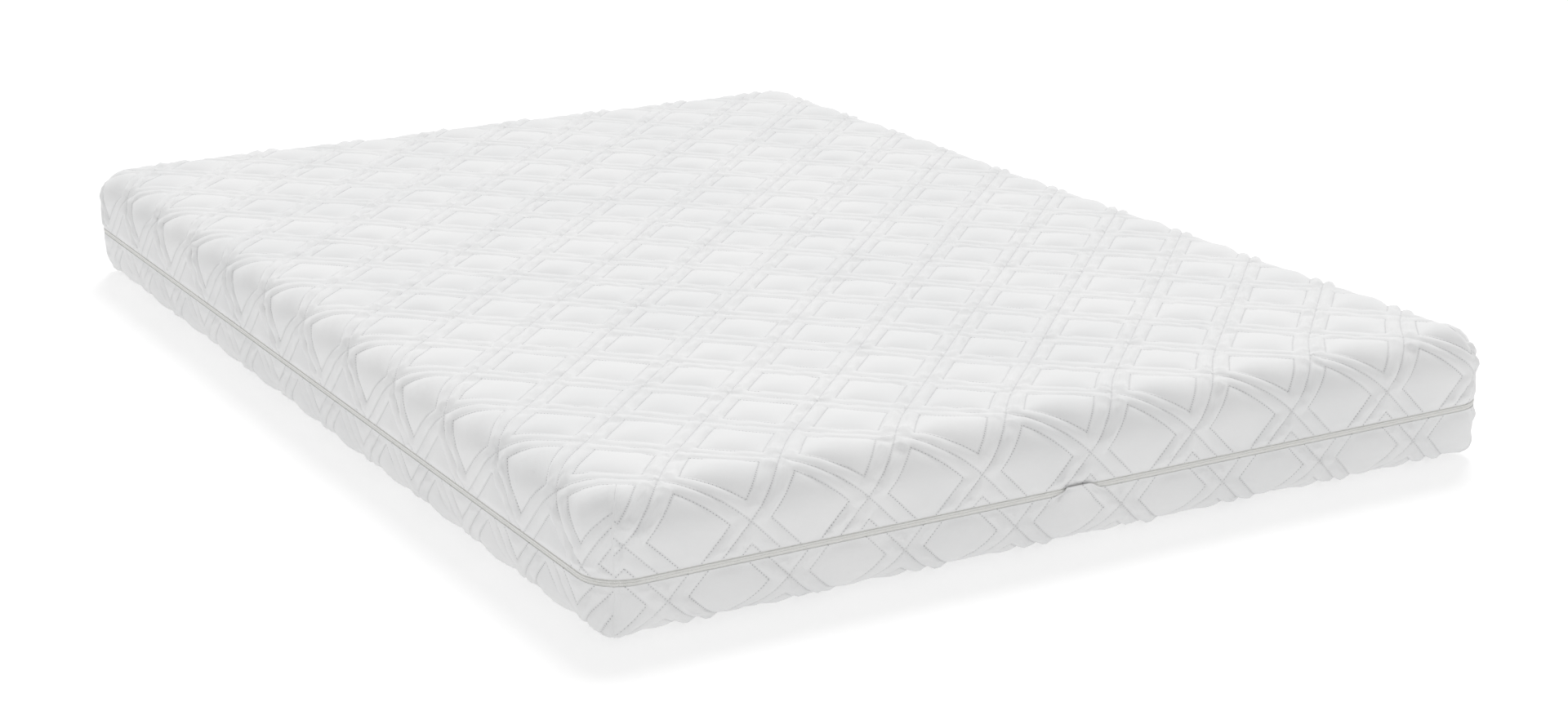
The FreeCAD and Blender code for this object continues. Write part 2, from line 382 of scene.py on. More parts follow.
def blown_cells():
    """Heights of lattice cells whose fabric is blown up as cloth between its stitches."""
    x, y, dx, dy, sewn = sewn_grid()
    obj = cloth_object(x, y, dx, dy, sewn)
    cloth = obj.modifiers.new("cloth", "CLOTH")
    for setting, value in CLOTH_SETTINGS.items():
        setattr(cloth.settings, setting, value)
    cloth.settings.effector_weights.gravity = 0
    cloth.collision_settings.use_collision = False
    cloth.point_cache.frame_end = CLOTH_FRAMES
    scene = bpy.context.scene
    for step in range(1, CLOTH_FRAMES + 1):
        scene.frame_set(step)
    blown = obj.evaluated_get(bpy.context.evaluated_depsgraph_get())
    height = np.array([vert.co.z for vert in blown.data.vertices])
    scene.frame_set(1)
    bpy.data.objects.remove(obj)
    side = CLOTH_STEPS + 1
    height = np.maximum(height, 0).reshape(CLOTH_CELLS, side, side)
    channel = np.minimum(dx, dy) < CHANNEL
    ridge_top = np.quantile(height[:, channel], TOP_SHARE)
    pillow_top = np.quantile(height[:, ~channel], TOP_SHARE)
    height *= np.where(channel, RIDGE_HEIGHT / ridge_top, PILLOW_HEIGHT / pillow_top)
    return np.minimum(height, CLOTH_LIMIT)


def sample_cells(cells, i, j, x, y, seed):
    """Heights at places in lattice cells, each cell taking one of the blown ones, turned at random."""
    kind = np.minimum((cell_random(i, j, seed) * CLOTH_CELLS).astype(int), CLOTH_CELLS - 1)
    x = np.where(cell_random(i, j, seed + 3) < 0.5, x, PITCH - x)
    y = np.where(cell_random(i, j, seed + 4) < 0.5, y, PITCH - y)
    at_x = np.clip(x / PITCH, 0, 1) * CLOTH_STEPS
    at_y = np.clip(y / PITCH, 0, 1) * CLOTH_STEPS
    row = np.minimum(at_x.astype(int), CLOTH_STEPS - 1)
    column = np.minimum(at_y.astype(int), CLOTH_STEPS - 1)
    share_x = at_x - row
    share_y = at_y - column
    low = cells[kind, row, column] * (1 - share_y) + cells[kind, row, column + 1] * share_y
    high = cells[kind, row + 1, column] * (1 - share_y) + cells[kind, row + 1, column + 1] * share_y
    return low * (1 - share_x) + high * share_x


def loft(half, p, q, u, v):
    """Height of the quilt over its stitched-down level."""
    i = np.floor(p + 1e-9)
    j = np.floor(q + 1e-9)
    x = (p - i) * PITCH
    y = (q - j) * PITCH
    dx = np.minimum(x, PITCH - x)
    dy = np.minimum(y, PITCH - y)
    gain = 1 + LONG_RIDGE_GAIN * (2 * smooth(0.5 + (dx - dy) / (12 * MM)) - 1)
    if BLOWN is not None:
        gain = np.where(np.minimum(dx, dy) < CHANNEL, gain, 0.9 + 0.2 * cell_random(i, j, half.seed + 7))
        return np.clip(sample_cells(BLOWN, i, j, x, y, half.seed) * gain, 0, CLOTH_LIMIT)
    nearest = np.clip(np.minimum(dx, dy) / CHANNEL, 0, 1)
    swell = 1 + 0.16 * ripple(u, v, 150 * MM, half.seed)
    ridge = RIDGE_HEIGHT * swell * gain * (4 * nearest * (1 - nearest)) ** 0.7
    span = PITCH / 2 - CHANNEL
    in_x = 1 - np.clip((dx - CHANNEL) / span, 0, 1)
    in_y = 1 - np.clip((dy - CHANNEL) / span, 0, 1)
    crown = np.maximum((1 - in_x**2) * (1 - in_y**2), 0) ** 0.6
    full = 0.86 + 0.28 * cell_random(i, j, half.seed)
    lean = 0.12 * ((cell_random(i, j, half.seed + 1) - 0.5) * (x - PITCH / 2))
    lean += 0.12 * ((cell_random(i, j, half.seed + 2) - 0.5) * (y - PITCH / 2))
    pillow = crown * (PILLOW_HEIGHT * full + lean * 0.5)
    h = np.where(np.minimum(dx, dy) < CHANNEL, ridge, pillow)
    return np.clip(h, 0, QUICK_LIMIT)


def settle(half, u, v, h):
    """The quilt's height after its edges are curled in at the zip and the corner seams."""
    s, _, _ = edge_places(half, u, v)
    over = smooth(s / EDGE_FADE)
    roll = ROLL * ripple(u, v, ROLL_LENGTH, half.seed + 5)
    h = h * (1 - EDGE_THINNING * over) - QUILT_SINK + roll
    rise = lip_rise(half, u, v)
    curl = smooth(1 - (lip_place(half, u, v) - s) / LIP_CURL) ** 1.5
    h = h * (1 - curl) + LIP_LEVEL * curl
    h = h + (GARAGE_PUSH - h) * rise * smooth((s - half.reach + 12 * MM) / (11 * MM))
    pull = smooth(1 - seam_distance(half, u, v) / SEAM_CURL) ** 1.5 * smooth(s / SEAM_FADE)
    return h * (1 - pull) + SEAM_LEVEL * pull


def corner_ear(half, u, v):
    """How far the lower cover's sewn corners stick out past the rounding."""
    s, _, _ = edge_places(half, u, v)
    _, turn = plan_radius(half, s)
    near = np.exp(-((seam_distance(half, u, v) / EAR_REACH) ** 2)) * (s > 0)
    push = EAR_SIZE * near * np.sin(2 * turn) ** 2 * (half.up < 0)
    side_u, side_v = sides_of(u, v)
    return np.stack([side_u * push * EAR_OUT, side_v * push * EAR_OUT, -EAR_DOWN * push], axis=-1)


def quilt_surface(half, p, q):
    """Places, normals and fabric coordinates of lattice points on the finished quilt."""
    u, v = to_fabric(half, p, q)
    h = settle(half, u, v, loft(half, p, q, u, v))
    place, normal = wrap(half, u, v, h)
    place = place + corner_ear(half, u, v)
    if half.up < 0:
        place[..., 2] = np.maximum(place[..., 2], FLOOR_GAP)
    return place, normal, u, v


def lattice_stations():
    """Lattice coordinates of the mesh lines, closer together beside the stitching."""
    middle = PITCH / 2
    cell = np.concatenate([CELL_MARKS, [middle], PITCH - CELL_MARKS[:0:-1]]) / PITCH
    cells = np.arange(-CELLS_OUT, CELLS_OUT)
    line = (cells[:, None] + cell[None, :]).ravel()
    return np.append(line, CELLS_OUT)


def level_roots(level, start, end):
    """Share of the way from start to end at which level is zero."""
    low = np.zeros(len(start))
    high = np.ones(len(start))
    sign = np.sign(level(*start.T))
    for _ in range(HALVINGS):
        middle = (low + high) / 2
        point = start + (end - start) * middle[:, None]
        same = np.sign(level(*point.T)) == sign
        low = np.where(same, middle, low)
        high = np.where(same, high, middle)
    return (low + high) / 2


def cut_along(bm, half, level_at, wanted_at=None):
    """Splits the edges that cross level = 0 where wanted, and joins the new points over each face."""

    def level(p, q):
        return level_at(*to_fabric(half, p, q))

    bm.verts.ensure_lookup_table()
    bm.edges.ensure_lookup_table()
    bm.verts.index_update()
    place = np.array([vert.co[:2] for vert in bm.verts])
    value = level(*place.T)
    ends = np.array([[edge.verts[0].index, edge.verts[1].index] for edge in bm.edges])
    crossing = value[ends[:, 0]] * value[ends[:, 1]] < 0
    if wanted_at is not None:
        middle = (place[ends[:, 0]] + place[ends[:, 1]]) / 2
        crossing &= wanted_at(*to_fabric(half, *middle.T))
    chosen = np.nonzero(crossing)[0]
    roots = level_roots(level, place[ends[chosen, 0]], place[ends[chosen, 1]])
    edges = [bm.edges[k] for k in chosen]
    made = []
    for edge, root in zip(edges, roots):
        made.append(bmesh.utils.edge_split(edge, edge.verts[0], float(root))[1])
    bmesh.ops.connect_verts(bm, verts=made)


def clipped_lattice(half):
    """The quilt's face as a mesh in lattice coordinates, cut to the cover's outline."""
    line = lattice_stations()
    p, q = np.meshgrid(line, line, indexing="ij")
    u, v = to_fabric(half, p, q)
    inside = outside(half, u, v) < 0
    touched = inside[:-1, :-1] | inside[1:, :-1] | inside[:-1, 1:] | inside[1:, 1:]
    rows, columns = np.nonzero(touched)
    quads = quads_at(rows, columns, len(line))
    used, packed = np.unique(quads, return_inverse=True)
    packed = packed.reshape(quads.shape)
    flat = np.stack([p.ravel()[used], q.ravel()[used], np.zeros(len(used))], axis=1)
    mesh = bpy.data.meshes.new("lattice")
    mesh.from_pydata(flat.tolist(), [], packed.tolist())
    bm = bmesh.new()
    bm.from_mesh(mesh)
    bpy.data.meshes.remove(mesh)

    def diagonal(u, v):
        return (np.abs(u) - half.width) - (np.abs(v) - half.length)

    def past_edge(u, v):
        return edge_places(half, u, v)[0] > 0

    def below_lip(depth):
        return lambda u, v: edge_places(half, u, v)[0] - lip_place(half, u, v) + depth

    def beside_seam(depth):
        return lambda u, v: seam_distance(half, u, v) - depth

    def outline(u, v):
        return outside(half, u, v)

    cut_along(bm, half, diagonal, past_edge)
    for depth in LIP_CUTS:
        cut_along(bm, half, below_lip(depth))
    for depth in SEAM_CUTS:
        cut_along(bm, half, beside_seam(depth), past_edge)
    cut_along(bm, half, outline)
    bm.verts.index_update()
    place = np.array([vert.co[:2] for vert in bm.verts])
    value = outline(*to_fabric(half, *place.T))
    doomed = [face for face in bm.faces if max(value[vert.index] for vert in face.verts) > 1e-6]
    bmesh.ops.delete(bm, geom=doomed, context="FACES")
    loose = [vert for vert in bm.verts if not vert.link_faces]
    bmesh.ops.delete(bm, geom=loose, context="VERTS")
    return bm


def longest_boundary(bm):
    """The longest ring of open edges of a mesh, as vertices in order."""
    following = {}
    for edge in bm.edges:
        if len(edge.link_faces) == 1:
            loop = edge.link_loops[0]
            following[loop.vert] = loop.link_loop_next.vert
    loops = []
    while following:
        start, vert = following.popitem()
        loop = [start]
        while vert != start:
            loop.append(vert)
            vert = following.pop(vert)
        loops.append(loop)
    return max(loops, key=len)


def inner_points(half):
    """Points inside the cover's outline, closer together where the fabric turns over the edge."""

    def marks(size):
        calm = np.linspace(-size, size, 2 * int(size / INNER_SPACING) + 1)
        turn = size + np.linspace(INNER_START, half.reach, 16)
        return np.concatenate([-turn[::-1], calm, turn])

    def within(across, along, margin):
        u, v = np.meshgrid(across, along, indexing="ij")
        keep = outside(half, u, v) < -margin
        return np.stack([u[keep], v[keep]], axis=1)

    points = within(marks(half.width), marks(half.length), 5 * MM)
    if half.up > 0:
        return points
    across = np.arange(GARAGE_LEFT - 8 * MM, GARAGE_RIGHT + 26 * MM, 3 * MM)
    over = half.reach + np.arange(-3.5, 8, 2.2) * MM
    return np.concatenate([points, within(across, -half.length - over, 1.2 * MM)])


def fill_outline(loop, points):
    """Triangles over an outline and the points in it: places in the plane, faces, outline indices."""
    given = [Vector(x) for x in loop.tolist()] + [Vector(x) for x in points.tolist()]
    face = list(range(len(loop)))
    places, _, faces, sources, _, _ = delaunay_2d_cdt(given, [], [face], 1, 1e-9)
    found = {}
    for k, source in enumerate(sources):
        for s in source:
            found[s] = k
    order = [found[k] for k in range(len(loop))]
    return np.array([tuple(x) for x in places]), [tuple(f) for f in faces], order


def object_from(name, places, faces, material, pattern=None):
    """A smooth-shaded mesh object whose faces all point outwards."""
    obj = mesh_object(name, places, faces, material)
    mesh = obj.data
    bm = bmesh.new()
    bm.from_mesh(mesh)
    bmesh.ops.recalc_face_normals(bm, faces=bm.faces)
    bm.to_mesh(mesh)
    bm.free()
    mesh.set_sharp_from_angle(angle=math.radians(SHARP_ANGLE))
    if pattern is not None:
        layer = mesh.uv_layers.new(name="pattern")
        corners = np.empty(len(mesh.loops), dtype=np.int64)
        mesh.loops.foreach_get("vertex_index", corners)
        layer.data.foreach_set("uv", np.asarray(pattern)[corners].astype(np.float32).ravel())
    return obj


def pattern_of(half, u, v):
    """Lattice coordinates in metres of fabric points, for the stitching in the materials."""
    along = (u - half.start[0]) / CELL_WIDTH
    cross = (v - half.start[1]) / CELL_LENGTH
    return np.stack([(along + cross) * PITCH, (along - cross) * PITCH], axis=-1)


def shell(name, face, back, material):
    """A closed form from two surfaces, each (places, faces, outline, pattern), joined by a rim."""
    shift = len(face[0])
    places = np.concatenate([face[0], back[0]])
    pattern = np.concatenate([face[3], back[3]])
    faces = list(face[1]) + [tuple(k + shift for k in f) for f in back[1]]
    outer = face[2]
    inner = [k + shift for k in back[2]]
    for k in range(len(outer)):
        n = (k + 1) % len(outer)
        faces.append((outer[k], outer[n], inner[n], inner[k]))
    return object_from(name, places, faces, material, pattern)


def make_cover_half(half, names, body, fabric, lining_material):
    """The quilt and its lining for one half of the cover."""
    bm = clipped_lattice(half)
    bm.verts.index_update()
    lattice = np.array([vert.co[:2] for vert in bm.verts])
    faces = [tuple(vert.index for vert in face.verts) for face in bm.faces]
    loop = [vert.index for vert in longest_boundary(bm)]
    bm.free()
    place, _, u, v = quilt_surface(half, lattice[:, 0], lattice[:, 1])
    face = (place, faces, loop, lattice * PITCH)
    outline = np.stack([u[loop], v[loop]], axis=1)
    flat, triangles, order = fill_outline(outline, inner_points(half))
    fu = flat[:, 0]
    fv = flat[:, 1]

    def layer(depth):
        s, _, _ = edge_places(half, fu, fv)
        thin = lip_rise(half, fu, fv) * smooth((s - half.reach + GARAGE_FOLD) / THIN_FADE)
        push = GARAGE_PUSH - GARAGE_THICKNESS - STITCH_DEPTH + QUILT_BACK
        level = STITCH_DEPTH - depth + push * thin
        return (wrap(half, fu, fv, level)[0], triangles, order, pattern_of(half, fu, fv))

    quilt = shell(names[0], face, layer(QUILT_BACK), fabric)
    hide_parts(names[1] + "_fabric", names[1] + "_wadding")
    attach(quilt, body)
    lining = shell(names[1] + "_lining_sheet", layer(LINING_FACE), layer(LINING_BACK), lining_material)
    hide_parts(names[1] + "_lining")
    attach(lining, body)


def stitch_lines(half):
    """The sewn lines of one half, each as places, normals, distances and what is on the fabric."""
    line = lattice_stations()
    marks = list(CELL_MARKS).index(CHANNEL)
    p, q = np.meshgrid(line, line, indexing="ij")
    place, normal, u, v = quilt_surface(half, p, q)
    value = outside(half, u, v)
    for turned in (False, True):
        if turned:
            place = place.swapaxes(0, 1)
            normal = normal.swapaxes(0, 1)
            value = value.T
        for k in range(len(line)):
            column = k % STATIONS
            if column == 0:
                yield place[k], normal[k], line * PITCH, value[k]
            elif column in (marks, STATIONS - marks):
                for start in range(0, len(line) - 1, STATIONS):
                    part = slice(start + marks, start + STATIONS - marks + 1)
                    yield place[k, part], normal[k, part], line[part] * PITCH, value[k, part]


def grains_along(places, normals, distances, value):
    """Centres, directions and normals of the stitches along one sewn line."""
    steps = int((distances[-1] - distances[0]) / STITCH_STEP)
    if steps < 2 or value.min() > 0:
        return None
    offset = (distances[-1] - distances[0] - steps * STITCH_STEP) / 2
    at = distances[0] + offset + STITCH_STEP * (np.arange(steps) + 0.5)
    keep = np.interp(at, distances, value) < -3 * MM
    at = at[keep]
    if not len(at):
        return None

    def along(values, where):
        return np.stack([np.interp(where, distances, values[:, k]) for k in range(3)], axis=1)

    centre = along(places, at)
    normal = along(normals, at)
    ahead = along(places, at + 1 * MM) - along(places, at - 1 * MM)
    ahead /= np.maximum(np.linalg.norm(ahead, axis=1), 1e-9)[:, None]
    normal /= np.linalg.norm(normal, axis=1)[:, None]
    return centre, ahead, normal


def make_threads(name, half, body, material):
    """Every stitch of one half's quilting as a small raised grain of thread."""
    found = [grains_along(*line) for line in stitch_lines(half)]
    centre, ahead, normal = (np.concatenate(x) for x in zip(*(x for x in found if x is not None)))
    side = np.cross(normal, ahead)
    rng = np.random.default_rng(half.seed)
    skew = rng.uniform(-STITCH_SKEW, STITCH_SKEW, len(centre))[:, None]
    ahead = ahead + side * skew
    long = ahead * STITCH_LENGTH / 2
    wide = side * THREAD_WIDTH / 2
    sink = normal * THREAD_SINK
    rise = normal * THREAD_RISE
    corners = [centre - long - sink, centre - wide, centre + long - sink, centre + wide, centre + rise]
    places = np.stack(corners, axis=1).reshape(-1, 3)
    base = np.arange(len(centre))[:, None] * 5
    rim = [(0, 1, 4), (1, 2, 4), (2, 3, 4), (3, 0, 4)]
    faces = np.concatenate([base + np.array(f)[None, :] for f in rim])
    obj = mesh_object(name, places, faces.tolist(), material)
    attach(obj, body)


# Rings round the block: zip, foam and hems


def ring(depth, z, steps=14, spacing=40 * MM):
    """A rounded rectangle at that depth under the block's side, counter-clockwise from the right."""
    radius = CORNER_RADIUS - depth
    width = HALF_WIDTH - CORNER_RADIUS
    length = HALF_LENGTH - CORNER_RADIUS
    points = []
    corners = [(width, length, 0), (-width, length, 1), (-width, -length, 2), (width, -length, 3)]
    for k, (cx, cy, turn) in enumerate(corners):
        for step in range(steps + 1):
            angle = (turn + step / steps) * QUARTER
            points.append((cx + radius * math.cos(angle), cy + radius * math.sin(angle)))
        nx, ny, _ = corners[(k + 1) % 4]
        run = abs(nx - cx) + abs(ny - cy)
        last = points[-1]
        pieces = max(1, round(run / spacing))
        for step in range(1, pieces):
            share = step / pieces
            points.append((last[0] + (nx - cx) * share, last[1] + (ny - cy) * share))
    points = np.array(points)
    return np.column_stack([points, np.full(len(points), z)])


def way_round(depth):
    """The length of a rounded rectangle at that depth under the block's side."""
    return 4 * (HALF_WIDTH + HALF_LENGTH - 2 * CORNER_RADIUS) + math.tau * (CORNER_RADIUS - depth)


def loft_rings(name, rings, material, closed=False):
    """A form through rings of points, closed on itself or capped."""
    count = len(rings[0])
    faces = []
    pairs = list(zip(range(len(rings) - 1), range(1, len(rings))))
    if closed:
        pairs.append((len(rings) - 1, 0))
    for low, high in pairs:
        for k in range(count):
            n = (k + 1) % count
            faces.append((low * count + k, low * count + n, high * count + n, high * count + k))
    if not closed:
        faces.append(tuple(range(count)))
        faces.append(tuple((len(rings) - 1) * count + k for k in range(count)))
    return object_from(name, np.concatenate(rings), faces, material)


def make_zip_tapes(material):
    """The two tapes of the zip."""
    for side, body in (("upper", "top_cover"), ("lower", "bottom_cover")):
        node = "zip_tape_" + side
        low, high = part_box(node)
        front = HALF_WIDTH - high.x
        back = front + TAPE_THICKNESS
        rings = [ring(front, low.z), ring(front, high.z), ring(back, high.z), ring(back, low.z)]
        tape = loft_rings(node + "_woven", rings, material, closed=True)
        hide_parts(node)
        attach(tape, body)


def coil_path(depth, steps):
    """Places, and directions ahead and outward, evenly along a coil right round from the slider."""
    points = ring(depth, 0, steps=40, spacing=5 * MM)
    closed = np.concatenate([points, points[:1]])
    along = np.concatenate([[0], np.cumsum(np.linalg.norm(np.diff(closed, axis=0), axis=1))])
    foot = closed[:, 1] < -HALF_LENGTH + depth + 0.1 * MM
    start = np.interp(COIL_START, closed[foot, 0], along[foot])
    end = np.interp(COIL_END, closed[foot, 0], along[foot]) + along[-1]
    at = np.linspace(start, end, steps) % along[-1]
    place = np.stack([np.interp(at, along, closed[:, k]) for k in range(3)], axis=1)

    def beside(step):
        track = [np.interp(at + step, along, closed[:, k], period=along[-1]) for k in range(3)]
        return np.stack(track, axis=1)

    ahead = beside(MM) - beside(-MM)
    ahead /= np.linalg.norm(ahead, axis=1)[:, None]
    outward = np.stack([ahead[:, 1], -ahead[:, 0], np.zeros(steps)], axis=1)
    return place, ahead, outward


def make_coil(side, body, material):
    """One zip coil: its cord, and a rounded nylon loop for every tooth."""
    node = "zip_coil_" + side
    low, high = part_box(node)
    front = HALF_WIDTH - high.x
    loops = int(way_round(front) / LOOP_PITCH)
    place, ahead, outward = coil_path(front, loops)
    rise = np.array([[0, 0, 1.0]])
    middle = (low.z + high.z) / 2
    half = (high.z - low.z) / 2
    back = outward * -LOOP_DEPTH
    base = ahead * LOOP_PITCH * LOOP_BASE_SHARE
    crest = ahead * LOOP_PITCH * LOOP_CREST_SHARE
    level = place + rise * middle
    slope = ahead * LOOP_PITCH * LOOP_SLANT_SHARE * (1 if side == "upper" else -1)
    tip = rise * half * LOOP_CREST_HEIGHT
    corners = []
    for inward, wide, tall in ((back, base, rise * half), (0, crest, tip)):
        for x, z in ((-1, -1), (1, -1), (1, 1), (-1, 1)):
            corners.append(level + inward + x * wide + z * (tall + slope))
    places = np.stack(corners, axis=1).reshape(-1, 3)
    sides = [(0, 1, 5, 4), (1, 2, 6, 5), (2, 3, 7, 6), (3, 0, 4, 7), (4, 5, 6, 7)]
    first = np.arange(loops)[:, None] * 8
    faces = np.concatenate([first + np.array(f)[None, :] for f in sides]).tolist()
    strip, _, out = coil_path(front, CORD_STEPS)
    section = [(CORD_FRONT, low.z), (CORD_FRONT, high.z), (CORD_BACK, high.z), (CORD_BACK, low.z)]
    rows = [strip - out * depth + rise * z for depth, z in section]
    faces += swept_faces(4, len(strip), len(places))
    obj = mesh_object(node + "_loops", np.concatenate([places] + rows), faces, material)
    obj.data.set_sharp_from_angle(angle=math.radians(SHARP_ANGLE))
    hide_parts(node)
    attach(obj, body)


def make_label(material):
    """A blank satin label that hangs inside the lower cover, a little waved."""
    low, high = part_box("care_label")
    across = np.linspace(low.x, high.x, LABEL_COLUMNS)
    x, z = np.meshgrid(across, np.linspace(low.z, high.z, LABEL_ROWS), indexing="ij")
    share = (high.z - z) / (high.z - low.z)
    wave = LABEL_WAVE * share * np.sin((x - low.x) * math.tau / LABEL_WAVE_LENGTH)
    front = np.stack([x, low.y + LABEL_GAP + wave, z], axis=-1).reshape(-1, 3)
    back = front + np.array([0, LABEL_THICKNESS, 0])
    rows, columns = np.indices((LABEL_COLUMNS - 1, LABEL_ROWS - 1))
    quads = quads_at(rows.ravel(), columns.ravel(), LABEL_ROWS)
    faces = quads.tolist() + (quads[:, ::-1] + len(front)).tolist()
    index = np.arange(len(front)).reshape(x.shape)
    edge = np.concatenate([index[:, 0], index[-1, 1:], index[-2::-1, -1], index[0, -2:0:-1]]).tolist()
    for a, b in zip(edge, edge[1:] + edge[:1]):
        faces.append((a, b, b + len(front), a + len(front)))
    obj = object_from("care_label_satin", np.concatenate([front, back]), faces, material)
    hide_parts("care_label")
    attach(obj, "bottom_cover")


def foam_profile(low, high, low_radius, high_radius):
    """Depth and height pairs up the side of a foam layer, each edge square or rounded."""
    angles = [QUARTER * k / FOAM_STEPS for k in range(FOAM_STEPS + 1)]
    points = [] if low_radius else [(0, low)]
    for angle in angles if low_radius else []:
        points.append((low_radius * (1 - math.sin(angle)), low + low_radius * (1 - math.cos(angle))))
    for angle in reversed(angles if high_radius else []):
        lift = high_radius * (1 - math.cos(angle))
        points.append((high_radius * (1 - math.sin(angle)), high - lift))
    return points if high_radius else points + [(0, high)]


def make_foam(node, low_radius, high_radius, material):
    """One layer of the foam core."""
    low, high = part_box(node)
    profile = foam_profile(low.z, high.z, low_radius, high_radius)
    rings = [ring(FOAM_DEPTH + depth, z) for depth, z in profile]
    obj = loft_rings(node + "_block", rings, material)
    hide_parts(node)
    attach(obj, "foam_core")


def swept_faces(sides, count, first=0):
    """Faces of a bar given as rows of points along it, side after side, with its two ends closed."""
    faces = []
    for k in range(sides):
        n = (k + 1) % sides
        for j in range(count - 1):
            a = first + k * count + j
            b = first + n * count + j
            faces.append((a, a + 1, b + 1, b))
    faces.append(tuple(first + k * count for k in range(sides)))
    faces.append(tuple(first + k * count + count - 1 for k in range(sides)))
    return faces


def make_corner_seams(half, node, body, material):
    """The sewn seams down the four corners of one half."""
    s = np.linspace(half.flat + SEAM_START, half.reach - 1 * MM, 34)
    radius, _ = plan_radius(half, s)
    t = radius * (QUARTER / 2 - SEAM_TURN)
    sides = 6
    places = []
    faces = []
    for sign_x in (-1, 1):
        for sign_y in (-1, 1):
            u = sign_x * (half.width + t)
            v = sign_y * (half.length + s)
            level = SEAM_LEVEL * smooth(s / SEAM_FADE) - SEAM_SINK
            middle, normal = wrap(half, u, v, level)
            middle = middle + corner_ear(half, u, v)
            ahead = np.gradient(middle, axis=0)
            ahead /= np.linalg.norm(ahead, axis=1)[:, None]
            side = np.cross(normal, ahead)
            first = sum(len(x) for x in places)
            for k in range(sides):
                angle = math.tau * k / sides
                across = side * math.cos(angle) * SEAM_WIDTH
                places.append(middle + across + normal * math.sin(angle) * MM)
            faces += swept_faces(sides, len(s), first)
    places = np.concatenate(places)
    plain = np.full((len(places), 2), PITCH / 2)
    obj = object_from(node + "_sewn", places, faces, material, plain)
    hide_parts(node)
    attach(obj, body)


def make_garage(body, material):
    """The turned edge along the stretch of the lower lip that is drawn up over the parked slider."""
    u = np.linspace(GARAGE_LEFT - 1 * MM, GARAGE_RIGHT + GARAGE_FADE / 2 + 4 * MM, 60)
    v = np.full(len(u), -BOTTOM.length - BOTTOM.reach - 1 * MM)
    over = lip_place(BOTTOM, u, v)
    rise = lip_rise(BOTTOM, u, v)
    level = LIP_LEVEL - FOLD_WIDTH + (GARAGE_PUSH - LIP_LEVEL) * rise
    crest, normal = wrap(BOTTOM, u, -BOTTOM.length - over, level)
    sides = 10
    places = []
    for k in range(sides):
        angle = math.tau * k / sides
        out = normal * (FOLD_WIDTH * math.cos(angle))
        up = np.array([[0, 0, 1.0]]) * (FOLD_HEIGHT * math.sin(angle) - FOLD_DROP)
        places.append(crest + out + up)
    faces = swept_faces(sides, len(u))
    pattern = np.concatenate([pattern_of(BOTTOM, u, -BOTTOM.length - over)] * sides)
    obj = object_from("zip_garage_fold", np.concatenate(places), faces, material, pattern)
    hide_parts("zip_garage")
    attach(obj, body)


# Materials


class Graph:
    """A node material under construction."""

    def __init__(self, name):
        self.material = bpy.data.materials.new(name)
        self.material.use_nodes = True
        self.nodes = self.material.node_tree.nodes
        self.links = self.material.node_tree.links
        self.shader = self.nodes["Principled BSDF"]
        self.place = self.nodes.new("ShaderNodeTexCoord").outputs["Object"]

    def add(self, kind, inputs, **values):
        node = self.nodes.new(kind)
        for key, value in values.items():
            setattr(node, key, value)
        for key, value in inputs.items():
            self.feed(node.inputs[key], value)
        return node

    def feed(self, socket, value):
        if isinstance(value, bpy.types.NodeSocket):
            self.links.new(value, socket)
        else:
            socket.default_value = value

    def math(self, operation, a, b=0.0):
        return self.add("ShaderNodeMath", {0: a, 1: b}, operation=operation).outputs[0]

    def times(self, a, b):
        return self.math("MULTIPLY", a, b)

    def highest(self, values):
        top = values[0]
        for value in values[1:]:
            top = self.math("MAXIMUM", top, value)
        return top

    def band(self, value, low, high):
        """0 below low, 1 above high, smooth between; reversed where low is above high."""
        inputs = {"Value": value, "From Min": min(low, high), "From Max": max(low, high)}
        inputs["To Min"] = float(low > high)
        inputs["To Max"] = float(low < high)
        return self.add("ShaderNodeMapRange", inputs, interpolation_type="SMOOTHSTEP").outputs[0]

    def noise(self, scale, detail=3.0):
        inputs = {"Vector": self.place, "Scale": scale, "Detail": detail}
        return self.add("ShaderNodeTexNoise", inputs).outputs["Fac"]

    def cells(self, vector, scale):
        inputs = {"Vector": vector, "Scale": scale}
        return self.add("ShaderNodeTexVoronoi", inputs, feature="F1").outputs["Distance"]

    def mix(self, share, a, b):
        return self.add("ShaderNodeMix", {0: share, 6: a, 7: b}, data_type="RGBA").outputs[2]

    def bump(self, height, distance, strength, before=None):
        inputs = {"Height": height, "Distance": distance, "Strength": strength}
        if before is not None:
            inputs["Normal"] = before
        return self.add("ShaderNodeBump", inputs).outputs["Normal"]

    def split(self, vector):
        return self.add("ShaderNodeSeparateXYZ", {0: vector}).outputs

    def pattern(self):
        place = self.add("ShaderNodeUVMap", {}, uv_map="pattern").outputs["UV"]
        x, y, _ = self.split(place)
        return place, x, y

    def finish(self, colour, roughness, normal=None, sheen=0.0, metallic=0.0):
        self.feed(self.shader.inputs["Base Color"], colour)
        self.feed(self.shader.inputs["Roughness"], roughness)
        self.shader.inputs["Sheen Weight"].default_value = sheen
        self.shader.inputs["Metallic"].default_value = metallic
        if normal is not None:
            self.links.new(normal, self.shader.inputs["Normal"])
        return self.material


def rgb(red, green, blue):
    return (red, green, blue, 1.0)


def grey(tone):
    return rgb(tone, tone, tone)


